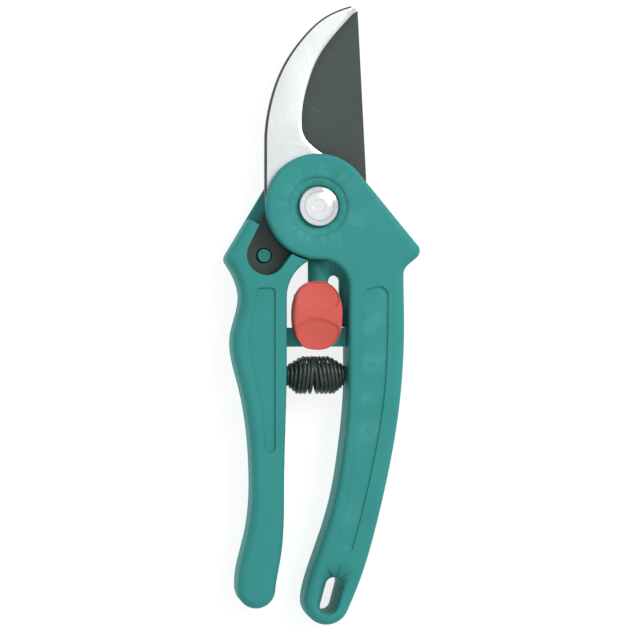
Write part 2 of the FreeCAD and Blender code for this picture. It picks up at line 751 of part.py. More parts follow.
screw = newBody("lock_screw")
pad(screw, "screw_head", [circle(screwAt, size("screwHeadRadius"))],
    str(screwHeadFloor), "sizes.screwHeadHeight")
bevel(screw, "screw_head_edge", "Fillet", "sizes.screwHeadRound",
      lambda edge: liesFlatAt(edge, screwHeadFloor))
pad(screw, "screw_shank", [circle(screwAt, size("screwRadius"))],
    str(screwHeadTop - screwGap), str(screwTop - screwHeadTop + screwGap))
slotHalf = size("screwSlotWidth") / 2
slotSides = (screwAt[0] - slotEnd, screwAt[0] + slotEnd, screwAt[1] - slotHalf, screwAt[1] + slotHalf)
pocket(screw, "screw_slot", rectangle(*slotSides),
       f"{screwHeadFloor} + sizes.screwSlotDepth", "sizes.screwHeadHeight")

# ---------------------------------------------------------------- checks and files
nodes = [item for item in doc.Objects
         if item.TypeId == "PartDesign::Body" and not item.Label.endswith("_blank")]
for item in doc.Objects:
    if {"Invalid", "Error"} & set(item.State):
        raise RuntimeError(f"{item.Label} is {item.State}")
for body in nodes:
    shape = body.Shape
    if shape.isNull() or not shape.isValid() or len(shape.Solids) != 1:
        raise RuntimeError(f"{body.Label} has no single valid solid")

os.makedirs("parts", exist_ok=True)
for body in nodes:
    body.Shape.exportStep(f"parts/{body.Label}.step")
    box = body.Shape.BoundBox
    print(f"{body.Label}: {body.Shape.Volume:.1f} mm3, "
          f"{box.XMin:.2f}..{box.XMax:.2f}, {box.YMin:.2f}..{box.YMax:.2f}, {box.ZMin:.2f}..{box.ZMax:.2f}")
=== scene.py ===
import json
import math

import bmesh
import bpy
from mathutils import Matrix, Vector
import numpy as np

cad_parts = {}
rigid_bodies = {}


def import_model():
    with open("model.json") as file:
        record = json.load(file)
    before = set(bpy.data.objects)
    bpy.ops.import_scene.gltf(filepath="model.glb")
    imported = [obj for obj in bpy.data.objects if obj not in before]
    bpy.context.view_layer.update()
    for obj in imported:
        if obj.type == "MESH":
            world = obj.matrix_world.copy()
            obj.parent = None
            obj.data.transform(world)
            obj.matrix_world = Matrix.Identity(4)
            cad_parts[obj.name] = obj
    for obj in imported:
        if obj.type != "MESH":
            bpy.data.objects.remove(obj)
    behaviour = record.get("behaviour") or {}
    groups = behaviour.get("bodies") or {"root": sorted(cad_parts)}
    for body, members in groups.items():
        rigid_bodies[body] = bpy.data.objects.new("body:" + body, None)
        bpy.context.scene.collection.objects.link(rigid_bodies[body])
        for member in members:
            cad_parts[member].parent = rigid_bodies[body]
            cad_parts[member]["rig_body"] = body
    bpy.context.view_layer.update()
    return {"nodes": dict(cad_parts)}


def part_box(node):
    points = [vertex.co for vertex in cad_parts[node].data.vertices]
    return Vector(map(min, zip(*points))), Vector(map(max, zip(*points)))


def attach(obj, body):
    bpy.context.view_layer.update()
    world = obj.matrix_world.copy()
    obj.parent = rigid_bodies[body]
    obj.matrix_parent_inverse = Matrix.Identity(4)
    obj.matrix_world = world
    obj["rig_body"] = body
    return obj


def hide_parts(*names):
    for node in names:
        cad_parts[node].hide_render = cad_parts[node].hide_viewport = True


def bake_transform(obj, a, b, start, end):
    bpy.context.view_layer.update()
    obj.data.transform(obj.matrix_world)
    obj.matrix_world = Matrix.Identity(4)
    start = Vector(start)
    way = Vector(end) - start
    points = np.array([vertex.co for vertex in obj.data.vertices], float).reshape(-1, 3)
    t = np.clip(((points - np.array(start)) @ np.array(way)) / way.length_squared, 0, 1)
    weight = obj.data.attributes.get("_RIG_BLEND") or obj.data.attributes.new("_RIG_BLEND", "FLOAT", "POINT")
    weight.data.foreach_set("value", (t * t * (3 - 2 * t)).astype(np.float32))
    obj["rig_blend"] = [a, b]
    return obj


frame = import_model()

mm = 0.001
print("frame loaded:", len(frame["nodes"]), "nodes")


# short helpers for building node trees
def addNode(tree, kind, place=(0, 0), **settings):
    node = tree.nodes.new(kind)
    node.location = place
    for name, value in settings.items():
        setattr(node, name, value)
    return node


def feed(tree, socket, value):
    # a socket is linked, a plain value is set on the input itself
    if isinstance(value, bpy.types.NodeSocket):
        tree.links.new(value, socket)
    else:
        socket.default_value = value


def mathNode(tree, operation, first, second=0.0, third=0.0, clamp=False, place=(0, 0)):
    node = addNode(tree, "ShaderNodeMath", place, operation=operation, use_clamp=clamp)
    for socket, value in zip(node.inputs, (first, second, third)):
        feed(tree, socket, value)
    return node.outputs["Value"]


def mapRange(tree, value, fromMin, fromMax, toMin, toMax, place=(0, 0)):
    node = addNode(tree, "ShaderNodeMapRange", place, clamp=True)
    for name, item in (("Value", value), ("From Min", fromMin), ("From Max", fromMax),
                       ("To Min", toMin), ("To Max", toMax)):
        feed(tree, node.inputs[name], item)
    return node.outputs["Result"]


def mixColours(tree, factor, first, second, place=(0, 0)):
    node = addNode(tree, "ShaderNodeMix", place, data_type="RGBA", blend_type="MIX")
    colourInputs = [socket for socket in node.inputs if socket.type == "RGBA"]
    feed(tree, node.inputs[0], factor)
    feed(tree, colourInputs[0], first)
    feed(tree, colourInputs[1], second)
    return [socket for socket in node.outputs if socket.type == "RGBA"][0]


def noiseNode(tree, vector, scale, detail, roughness, place=(0, 0)):
    node = addNode(tree, "ShaderNodeTexNoise", place)
    feed(tree, node.inputs["Vector"], vector)
    feed(tree, node.inputs["Scale"], scale)
    feed(tree, node.inputs["Detail"], detail)
    feed(tree, node.inputs["Roughness"], roughness)
    return node.outputs["Fac"]


def objectPlace(tree, place=(-700, -200)):
    return addNode(tree, "ShaderNodeTexCoord", place).outputs["Object"]


def scaleFor(tree, size, place=(-500, 0)):
    # a pattern of this size in metres needs a scale of one over it
    return mathNode(tree, "DIVIDE", 1.0, size, place=place)


def newGroup(name, inputs, outputs):
    tree = bpy.data.node_groups.new(name, "ShaderNodeTree")
    kinds = {"value": "NodeSocketFloat", "colour": "NodeSocketColor"}
    for label, kind, start in inputs:
        socket = tree.interface.new_socket(label, in_out="INPUT", socket_type=kinds[kind])
        socket.default_value = start
    for label, kind in outputs:
        tree.interface.new_socket(label, in_out="OUTPUT", socket_type=kinds[kind])
    given = addNode(tree, "NodeGroupInput", (-900, 0))
    result = addNode(tree, "NodeGroupOutput", (700, 0))
    return tree, given.outputs, result.inputs


# effects that several finishes share
# each noise is cut off at these two values and drawn out to run from 0, or the least rub, to 1
noiseSpan = {"speckle": (0.35, 0.65), "patch": (0.30, 0.70), "rub": (0.38, 0.62),
             "streak": (0.30, 0.70), "scratch": (0.69, 0.74)}
leastRub = 0.15  # what is left of the edge rub where it is broken up
scratchStretch = (60.0, 2600.0, 60.0)


def makeGrainGroup():
    # fine spark-eroded mould grain with a coarser ripple under it
    tree, given, result = newGroup(
        "mouldGrain",
        [("Grain Size", "value", 0.4 * mm), ("Ripple Size", "value", 6 * mm), ("Ripple", "value", 0.4)],
        [("Height", "value"), ("Speckle", "value")])
    place = objectPlace(tree)
    grainScale = scaleFor(tree, given["Grain Size"], (-500, 200))
    rippleScale = scaleFor(tree, given["Ripple Size"])
    grain = noiseNode(tree, place, grainScale, detail=2.0, roughness=0.6, place=(-300, 200))
    ripple = noiseNode(tree, place, rippleScale, detail=2.0, roughness=0.5, place=(-300, -50))
    raised = mathNode(tree, "MULTIPLY_ADD", ripple, given["Ripple"], grain, place=(0, 100))
    feed(tree, result["Height"], raised)
    feed(tree, result["Speckle"], mapRange(tree, grain, *noiseSpan["speckle"], 0.0, 1.0, (0, -200)))
    return tree


def makeDriftGroup():
    # slow change of shade over the surface, as pigment and handling give
    tree, given, result = newGroup(
        "shadeDrift",
        [("Colour", "colour", (0.5, 0.5, 0.5, 1.0)), ("Darker", "colour", (0.4, 0.4, 0.4, 1.0)),
         ("Patch Size", "value", 20 * mm), ("Amount", "value", 0.5)],
        [("Colour", "colour"), ("Patch", "value")])
    scale = scaleFor(tree, given["Patch Size"])
    cloud = noiseNode(tree, objectPlace(tree), scale, detail=4.0, roughness=0.55, place=(-300, 0))
    patch = mapRange(tree, cloud, *noiseSpan["patch"], 0.0, 1.0, (-100, 0))
    share = mathNode(tree, "MULTIPLY", patch, given["Amount"], place=(100, 0))
    feed(tree, result["Colour"], mixColours(tree, share, given["Colour"], given["Darker"], (300, 0)))
    feed(tree, result["Patch"], patch)
    return tree


def makeRubGroup():
    # wear on the rounded edges, broken up so that it isn't an even line
    tree, given, result = newGroup(
        "edgeRub",
        [("Amount", "value", 0.5), ("Break Size", "value", 3 * mm)],
        [("Mask", "value")])
    edge = addNode(tree, "ShaderNodeAttribute", (-700, 200), attribute_name="edge").outputs["Fac"]
    scale = scaleFor(tree, given["Break Size"])
    cloud = noiseNode(tree, objectPlace(tree), scale, detail=5.0, roughness=0.65, place=(-300, 0))
    broken = mapRange(tree, cloud, *noiseSpan["rub"], leastRub, 1.0, (-100, 0))
    worn = mathNode(tree, "MULTIPLY", edge, broken, place=(100, 100))
    mask = mathNode(tree, "MULTIPLY", worn, given["Amount"], clamp=True, place=(300, 100))
    feed(tree, result["Mask"], mask)
    return tree


def makeLinesGroup():
    # ground or brushed lines: noise drawn out along the grinding direction
    tree, given, result = newGroup(
        "groundLines",
        [("Turn", "value", 0.0), ("Line Pitch", "value", 0.3 * mm), ("Line Length", "value", 20 * mm)],
        [("Height", "value"), ("Streak", "value")])
    turn = addNode(tree, "ShaderNodeCombineXYZ", (-900, 0))
    feed(tree, turn.inputs["Z"], given["Turn"])
    turned = addNode(tree, "ShaderNodeVectorRotate", (-700, 0), rotation_type="EULER_XYZ")
    feed(tree, turned.inputs["Vector"], objectPlace(tree, (-900, -300)))
    feed(tree, turned.inputs["Rotation"], turn.outputs["Vector"])
    across = scaleFor(tree, given["Line Pitch"], (-700, 250))
    along = scaleFor(tree, given["Line Length"], (-700, 400))
    stretch = addNode(tree, "ShaderNodeCombineXYZ", (-500, 300))
    for name, value in (("X", along), ("Y", across), ("Z", across)):
        feed(tree, stretch.inputs[name], value)
    drawn = addNode(tree, "ShaderNodeVectorMath", (-300, 100), operation="MULTIPLY")
    feed(tree, drawn.inputs[0], turned.outputs["Vector"])
    feed(tree, drawn.inputs[1], stretch.outputs["Vector"])
    lines = noiseNode(tree, drawn.outputs["Vector"], 1.0, detail=4.0, roughness=0.6, place=(-100, 100))
    feed(tree, result["Height"], lines)
    feed(tree, result["Streak"], mapRange(tree, lines, *noiseSpan["streak"], 0.0, 1.0, (200, -100)))
    return tree


def makeScuffGroup():
    # a few short hairline scratches, each cell of the surface with its own angle
    tree, given, result = newGroup(
        "scuffs",
        [("Cell Size", "value", 12 * mm), ("Amount", "value", 0.5)],
        [("Mask", "value")])
    place = objectPlace(tree, (-1100, -200))
    cells = addNode(tree, "ShaderNodeTexVoronoi", (-900, 0), feature="F1")
    feed(tree, cells.inputs["Vector"], place)
    feed(tree, cells.inputs["Scale"], scaleFor(tree, given["Cell Size"], (-1100, 100)))
    pick = addNode(tree, "ShaderNodeSeparateColor", (-700, 150))
    feed(tree, pick.inputs["Color"], cells.outputs["Color"])
    angle = mathNode(tree, "MULTIPLY", pick.outputs["Red"], math.pi, place=(-500, 150))
    turned = addNode(tree, "ShaderNodeVectorRotate", (-300, 0), rotation_type="Z_AXIS")
    feed(tree, turned.inputs["Vector"], place)
    feed(tree, turned.inputs["Angle"], angle)
    stretch = addNode(tree, "ShaderNodeVectorMath", (-100, 0), operation="MULTIPLY")
    feed(tree, stretch.inputs[0], turned.outputs["Vector"])
    stretch.inputs[1].default_value = scratchStretch
    hair = noiseNode(tree, stretch.outputs["Vector"], 1.0, detail=2.0, roughness=0.4, place=(100, 0))
    thin = mapRange(tree, hair, *noiseSpan["scratch"], 0.0, 1.0, (300, 0))
    mask = mathNode(tree, "MULTIPLY", thin, given["Amount"], clamp=True, place=(500, 0))
    feed(tree, result["Mask"], mask)
    return tree


grainGroup = makeGrainGroup()
driftGroup = makeDriftGroup()
rubGroup = makeRubGroup()
linesGroup = makeLinesGroup()
scuffGroup = makeScuffGroup()
print("shared effects made: grain, drift, rub, lines, scuffs")


# each effect placed in a material, with the sizes and amounts of its finish
def useGroup(tree, group, place, values):
    node = addNode(tree, "ShaderNodeGroup", place, node_tree=group)
    for name, value in values.items():
        feed(tree, node.inputs[name], value)
    return node.outputs


def driftOf(tree, look):
    return useGroup(tree, driftGroup, (-400, 300), {
        "Colour": look["colour"], "Darker": look["darker"],
        "Patch Size": look["patchSize"], "Amount": look["patches"]})


def rubOf(tree, look):
    values = {"Amount": look["rub"], "Break Size": look["rubBreak"]}
    return useGroup(tree, rubGroup, (-400, 0), values)["Mask"]


def grainOf(tree, look):
    return useGroup(tree, grainGroup, (-400, -300), {
        "Grain Size": look["grainSize"], "Ripple Size": look["rippleSize"], "Ripple": look["ripple"]})


def scuffsOf(tree, look):
    values = {"Cell Size": look["scuffCell"], "Amount": look["scuffs"]}
    return useGroup(tree, scuffGroup, (-400, -600), values)["Mask"]


def linesOf(tree, look, place):
    return useGroup(tree, linesGroup, place, {
        "Turn": look["lineTurn"], "Line Pitch": look["linePitch"], "Line Length": look["lineLength"]})


def roughnessOf(tree, mask, look, place=(0, 0)):
    smoothest, roughest = look["roughness"]
    return mapRange(tree, mask, 0.0, 1.0, smoothest, roughest, place)


def bumpNode(tree, height, depth, place=(300, -300)):
    node = addNode(tree, "ShaderNodeBump", place)
    node.inputs["Distance"].default_value = depth
    node.inputs["Strength"].default_value = 1.0
    feed(tree, node.inputs["Height"], height)
    return node.outputs["Normal"]


def newMaterial(name):
    material = bpy.data.materials.new(name)
    material.use_nodes = True
    tree = material.node_tree
    surface = tree.nodes["Principled BSDF"]
    surface.location = (600, 0)
    return material, tree, surface


# moulded plastics: what both colours share, then each one's own values
moulding = {
    "patchSize": 18 * mm, "patches": 0.7, "rub": 0.40, "rubBreak": 4 * mm, "rubSmooths": 0.10,
    "grainSize": 0.35 * mm, "rippleSize": 5 * mm, "ripple": 1.2,
    "scuffCell": 14 * mm, "scuffs": 0.5, "scuffShows": 0.25, "ior": 1.48, "specular": 0.12}
gripPlastic = {
    **moulding, "colour": (0.045, 0.303, 0.284, 1.0), "darker": (0.037, 0.272, 0.256, 1.0),
    "rubbed": (0.10, 0.41, 0.38, 1.0), "roughness": (0.49, 0.60), "depth": 0.012 * mm}
lockPlastic = {
    **moulding, "colour": (0.69, 0.128, 0.104, 1.0), "darker": (0.62, 0.108, 0.090, 1.0),
    "rubbed": (0.78, 0.24, 0.20, 1.0), "roughness": (0.41, 0.52), "depth": 0.010 * mm}


def mouldedPlastic(name, look):
    material, tree, surface = newMaterial(name)
    rub = rubOf(tree, look)
    grain = grainOf(tree, look)
    rubbed = mixColours(tree, rub, driftOf(tree, look)["Colour"], look["rubbed"], (0, 300))
    scuffed = mathNode(tree, "MULTIPLY", scuffsOf(tree, look), look["scuffShows"], place=(0, 100))
    feed(tree, surface.inputs["Base Color"], mixColours(tree, scuffed, rubbed, look["rubbed"], (200, 300)))
    sheen = roughnessOf(tree, grain["Speckle"], look, (0, -100))
    smoothed = mathNode(tree, "MULTIPLY", rub, look["rubSmooths"], place=(0, -250))
    feed(tree, surface.inputs["Roughness"], mathNode(tree, "SUBTRACT", sheen, smoothed, place=(200, -150)))
    feed(tree, surface.inputs["Normal"], bumpNode(tree, grain["Height"], look["depth"]))
    surface.inputs["IOR"].default_value = look["ior"]
    surface.inputs["Specular IOR Level"].default_value = look["specular"]
    return material


coatedSteel = {
    "colour": (0.056, 0.077, 0.068, 1.0), "darker": (0.043, 0.061, 0.054, 1.0),
    "bare": (0.36, 0.38, 0.38, 1.0), "bareMetal": 0.8, "patchSize": 12 * mm, "patches": 0.8,
    "rub": 0.75, "rubBreak": 2.2 * mm, "scuffCell": 10 * mm, "scuffs": 0.35, "scuffShows": 0.30,
    "grainSize": 0.28 * mm, "rippleSize": 3 * mm, "ripple": 0.8,
    "lineTurn": 0.25, "linePitch": 0.5 * mm, "lineLength": 30 * mm, "lineShare": 0.8,
    "roughness": (0.37, 0.49), "depth": 0.010 * mm, "specular": 0.35}


def coatedBlade(name, look):
    # a thin dark non-stick coat over steel, rubbed through on the edges
    material, tree, surface = newMaterial(name)
    grain = grainOf(tree, look)
    lines = linesOf(tree, look, (-400, -850))
    scratched = mathNode(tree, "MULTIPLY", scuffsOf(tree, look), look["scuffShows"], place=(-150, -500))
    bare = mathNode(tree, "MAXIMUM", rubOf(tree, look), scratched, clamp=True, place=(0, -200))
    colour = mixColours(tree, bare, driftOf(tree, look)["Colour"], look["bare"], (200, 300))
    feed(tree, surface.inputs["Base Color"], colour)
    metal = mathNode(tree, "MULTIPLY", bare, look["bareMetal"], place=(200, 50))
    feed(tree, surface.inputs["Metallic"], metal)
    feed(tree, surface.inputs["Roughness"], roughnessOf(tree, grain["Speckle"], look, (0, 50)))
    height = mathNode(tree, "MULTIPLY_ADD", lines["Height"], look["lineShare"], grain["Height"],
                      place=(0, -600))
    feed(tree, surface.inputs["Normal"], bumpNode(tree, height, look["depth"]))
    surface.inputs["Specular IOR Level"].default_value = look["specular"]
    return material


# ground steels: what the hook and the plated pieces share, then each one's own values
grinding = {
    "patchShade": 0.86, "patchSize": 15 * mm, "patches": 0.6, "streakShade": 0.70, "streaks": 0.10,
    "lineLength": 25 * mm, "scuffCell": 10 * mm, "scuffs": 0.7, "scuffRoughens": 0.1, "depth": 0.006 * mm}
hookSteel = {
    **grinding, "colour": (0.79, 0.825, 0.83, 1.0), "roughness": (0.28, 0.40),
    "lineTurn": 1.35, "linePitch": 0.35 * mm}
zincSteel = {
    **grinding, "colour": (0.62, 0.62, 0.60, 1.0), "roughness": (0.30, 0.42),
    "lineTurn": 0.4, "linePitch": 0.4 * mm}


def shadeOf(colour, share):
    return tuple(share * part for part in colour[:3]) + (1.0,)


def groundSteel(name, look):
    material, tree, surface = newMaterial(name)
    lines = linesOf(tree, look, (-400, 0))
    drift = driftOf(tree, {**look, "darker": shadeOf(look["colour"], look["patchShade"])})
    streaked = mathNode(tree, "MULTIPLY", lines["Streak"], look["streaks"], place=(-100, 100))
    streak = shadeOf(look["colour"], look["streakShade"])
    feed(tree, surface.inputs["Base Color"], mixColours(tree, streaked, drift["Colour"], streak, (200, 300)))
    surface.inputs["Metallic"].default_value = 1.0
    uneven = roughnessOf(tree, lines["Streak"], look)
    rough = mathNode(tree, "MULTIPLY_ADD", scuffsOf(tree, look), look["scuffRoughens"], uneven,
                     place=(200, 0))
    feed(tree, surface.inputs["Roughness"], rough)
    feed(tree, surface.inputs["Normal"], bumpNode(tree, lines["Height"], look["depth"]))
    return material


shadedPunchedSides = {
    # the dark colour of the side walls is painted shade, over torn and grainy steel
    "colour": (0.13, 0.135, 0.13, 1.0), "patchShade": 0.6, "patchSize": 4 * mm, "patches": 1.0,
    "grainSize": 0.3 * mm, "rippleSize": 1.6 * mm, "ripple": 1.0,
    "metal": 0.85, "roughness": (0.42, 0.62), "depth": 0.03 * mm}


def shadedPunchedSteel(name, look):
    # the sides of the stamped hook: torn and grainy, and painted dark as shade on the walls that face
    # sideways
    material, tree, surface = newMaterial(name)
    drift = driftOf(tree, {**look, "darker": shadeOf(look["colour"], look["patchShade"])})
    grain = grainOf(tree, look)
    feed(tree, surface.inputs["Base Color"], drift["Colour"])
    surface.inputs["Metallic"].default_value = look["metal"]
    feed(tree, surface.inputs["Roughness"], roughnessOf(tree, grain["Speckle"], look))
    feed(tree, surface.inputs["Normal"], bumpNode(tree, grain["Height"], look["depth"]))
    return material


boltChrome = {
    "colour": (0.98, 0.99, 1.0, 1.0), "darker": (0.84, 0.86, 0.88, 1.0), "patchSize": 3 * mm, "patches": 0.5,
    "grainSize": 1.2 * mm, "rippleSize": 4 * mm, "ripple": 1.5,
    "rub": 0.6, "rubBreak": 1 * mm, "scuffCell": 4 * mm, "scuffs": 0.8,
    "roughness": (0.15, 0.30), "depth": 0.009 * mm}


def polishedChrome(name, look):
    # polished, with a slight wave, and duller where it is rubbed or scratched
    material, tree, surface = newMaterial(name)
    feed(tree, surface.inputs["Base Color"], driftOf(tree, look)["Colour"])
    surface.inputs["Metallic"].default_value = 1.0
    dull = mathNode(tree, "MAXIMUM", rubOf(tree, look), scuffsOf(tree, look), clamp=True)
    feed(tree, surface.inputs["Roughness"], roughnessOf(tree, dull, look, (200, 0)))
    feed(tree, surface.inputs["Normal"], bumpNode(tree, grainOf(tree, look)["Height"], look["depth"]))
    return material


springOxide = {
    "colour": (0.058, 0.082, 0.078, 1.0), "darker": (0.016, 0.024, 0.022, 1.0),
    "patchSize": 2 * mm, "patches": 0.9, "grainSize": 0.25 * mm, "rippleSize": 1 * mm, "ripple": 0.8,
    "metal": 0.15, "roughness": (0.24, 0.40), "depth": 0.01 * mm}


def blackOxide(name, look):
    # oiled black wire, in patches of two shades
    material, tree, surface = newMaterial(name)
    drift = driftOf(tree, look)
    feed(tree, surface.inputs["Base Color"], drift["Colour"])
    surface.inputs["Metallic"].default_value = look["metal"]
    feed(tree, surface.inputs["Roughness"], roughnessOf(tree, drift["Patch"], look))
    feed(tree, surface.inputs["Normal"], bumpNode(tree, grainOf(tree, look)["Height"], look["depth"]))
    return material


finishes = {
    "gripPlastic": mouldedPlastic("teal grip plastic", gripPlastic),
    "lockPlastic": mouldedPlastic("coral lock plastic", lockPlastic),
    "coatedSteel": coatedBlade("dark coated steel", coatedSteel),
    "groundSteel": groundSteel("ground steel", hookSteel),
    "shadedPunchedSteel": shadedPunchedSteel("punched steel side with painted shade", shadedPunchedSides),
    "chrome": polishedChrome("polished chrome", boltChrome),
    "zincSteel": groundSteel("zinc plated steel", zincSteel),
    "blackOxide": blackOxide("black oxide wire", springOxide),
}
print("finishes made:", len(finishes))


# pieces that follow the CAD shape, with their sharp edges rounded
# node: finish, edge radius in mm, smallest angle in degrees that counts as an edge,
# and a finish with painted shade for the steep sides, if they have their own
shapedPieces = {
    "right_handle": ("gripPlastic", 0.30, 26, None),
    "left_handle": ("gripPlastic", 0.30, 26, None),
    "cutting_blade": ("coatedSteel", 0.08, 26, None),
    "hook_blade": ("groundSteel", 0.12, 26, "shadedPunchedSteel"),
    "pivot_bolt": ("chrome", 0.06, 20, None),
    "sleeve_nut": ("chrome", 0.12, 26, None),
    "spring_washer": ("zincSteel", 0.08, 26, None),
    "nut_washer": ("zincSteel", 0.08, 26, None),
    "lock_button": ("lockPlastic", 0.20, 26, None),
    "lock_button_back": ("lockPlastic", 0.25, 26, None),
    "lock_screw": ("zincSteel", 0.10, 26, None),
}
edgeSegments = 3
# steep sides get the finish that is painted dark as shade
shadedSteepSide = 0.8  # a side is steep where its normal points up or down by less than this
# the top edges of the panels in the grips are softer than the rest
softPanels = {"nodes": ("right_handle", "left_handle"), "radius": 0.5 * mm,
              "above": -24 * mm, "below": -120 * mm, "segments": 4}
# the thumb scoops of the lock are set in by a small step
scoopStep = {"node": "lock_button", "width": 0.30 * mm, "depth": 0.30 * mm, "below": 0.1 * mm,
             "leastFacing": 0.93, "mostFacing": 0.99999}
# the CAD triangles are joined into clean faces, and those with more than mostCorners are cut up again
cleaning = {"mergeGap": 0.02 * mm, "tinyGap": 0.002 * mm, "flatAngle": math.radians(0.4), "mostCorners": 4}


def sharpEdges(work, angle):
    return [edge for edge in work.edges if edge.is_manifold and edge.calc_face_angle(0.0) > angle]


def roundEdges(work, edges, radius, segments):
    # the new strips are marked, so that a finish can show wear along them
    mark = work.verts.layers.float["edge"]
    rounded = bmesh.ops.bevel(work, geom=edges, offset=radius, offset_type="OFFSET", segments=segments,
                              profile=0.5, affect="EDGES", clamp_overlap=True, loop_slide=True)
    strips = set(rounded["faces"])
    for vert in rounded["verts"]:
        vert[mark] = 1.0 if all(face in strips for face in vert.link_faces) else 0.0


def softenPanels(work, angle):
    top = max(vert.co.z for vert in work.verts) - cleaning["mergeGap"]
    panel = [edge for edge in sharpEdges(work, angle) if all(
        vert.co.z > top and softPanels["below"] < vert.co.y < softPanels["above"] for vert in edge.verts)]
    roundEdges(work, panel, softPanels["radius"], softPanels["segments"])


def setInScoops(work):
    # scoop faces lean a little and lie below the flat top of the lock
    lowest = max(vert.co.z for vert in work.verts) - scoopStep["below"]
    scoops = [face for face in work.faces
              if scoopStep["leastFacing"] < face.normal.z < scoopStep["mostFacing"]
              and face.calc_center_median().z < lowest]
    bmesh.ops.inset_region(work, faces=scoops, thickness=scoopStep["width"], depth=-scoopStep["depth"],
                           use_even_offset=False, use_boundary=True)


def addPiece(name, mesh):
    piece = bpy.data.objects.new(name, mesh)
    bpy.context.scene.collection.objects.link(piece)
    return piece


def roundedCopy(node, radius, angle):
    work = bmesh.new()
    work.from_mesh(frame["nodes"][node].data)
    work.verts.layers.float.new("edge")
    bmesh.ops.remove_doubles(work, verts=work.verts, dist=cleaning["mergeGap"])
    bmesh.ops.dissolve_limit(work, angle_limit=cleaning["flatAngle"], verts=work.verts, edges=work.edges)
    if node in softPanels["nodes"]:
        softenPanels(work, angle)
    roundEdges(work, sharpEdges(work, angle), radius, edgeSegments)
    if node == scoopStep["node"]:
        setInScoops(work)
    bmesh.ops.dissolve_degenerate(work, dist=cleaning["tinyGap"], edges=work.edges)
    for face in work.faces:
        face.smooth = True
    manySided = [face for face in work.faces if len(face.verts) > cleaning["mostCorners"]]
    bmesh.ops.triangulate(work, faces=manySided)
    mesh = bpy.data.meshes.new(node + "_finished")
    work.to_mesh(mesh)
    work.free()
    return addPiece(node + "_finished", mesh)


def finalMesh(holder):
    # what the modifiers of an object make, as a plain mesh
    mesh = bpy.data.meshes.new_from_object(holder.evaluated_get(bpy.context.evaluated_depsgraph_get()))
    holder.modifiers.clear()
    return mesh


def keepFlatsFlat(piece):
    # faces keep their own normals by area, so that flats stay flat up to the rounded edge
    weighted = piece.modifiers.new("flats", "WEIGHTED_NORMAL")
    weighted.mode = "FACE_AREA_WITH_ANGLE"
    weighted.weight = 100
    weighted.keep_sharp = False
    piece.data = finalMesh(piece)


for node, (finish, radiusMm, degrees, shadedSideFinish) in shapedPieces.items():
    piece = roundedCopy(node, radiusMm * mm, math.radians(degrees))
    keepFlatsFlat(piece)
    piece.data.materials.clear()
    piece.data.materials.append(finishes[finish])
    # the steep sides take the second finish, which paints them dark as shade
    if shadedSideFinish:
        piece.data.materials.append(finishes[shadedSideFinish])
        for face in piece.data.polygons:
            face.material_index = 1 if abs(face.normal.z) < shadedSteepSide else 0
    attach(piece, frame["nodes"][node]["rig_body"])
    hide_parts(node)
    print("piece", node, len(piece.data.polygons), "faces")


# return spring: a wound wire, narrow at both ends
springSize = {
    "turns": 15.0, "wireRadius": 0.57 * mm, "endRadius": 2.55 * mm, "middleRadius": 5.7 * mm,
    "taper": 0.25, "swellGain": 1.04, "swellSoftness": 0.14,
    "closing": 0.08,  # how much closer the end coils lie
    "fan": 0.75 * mm, "fanCentre": 0.46, "fanSharpness": 28.0,
    "wander": 0.10 * mm, "wanderGain": 4.0, "wanderPace": 0.37,
    "stepsPerTurn": 40, "wireSides": 14}


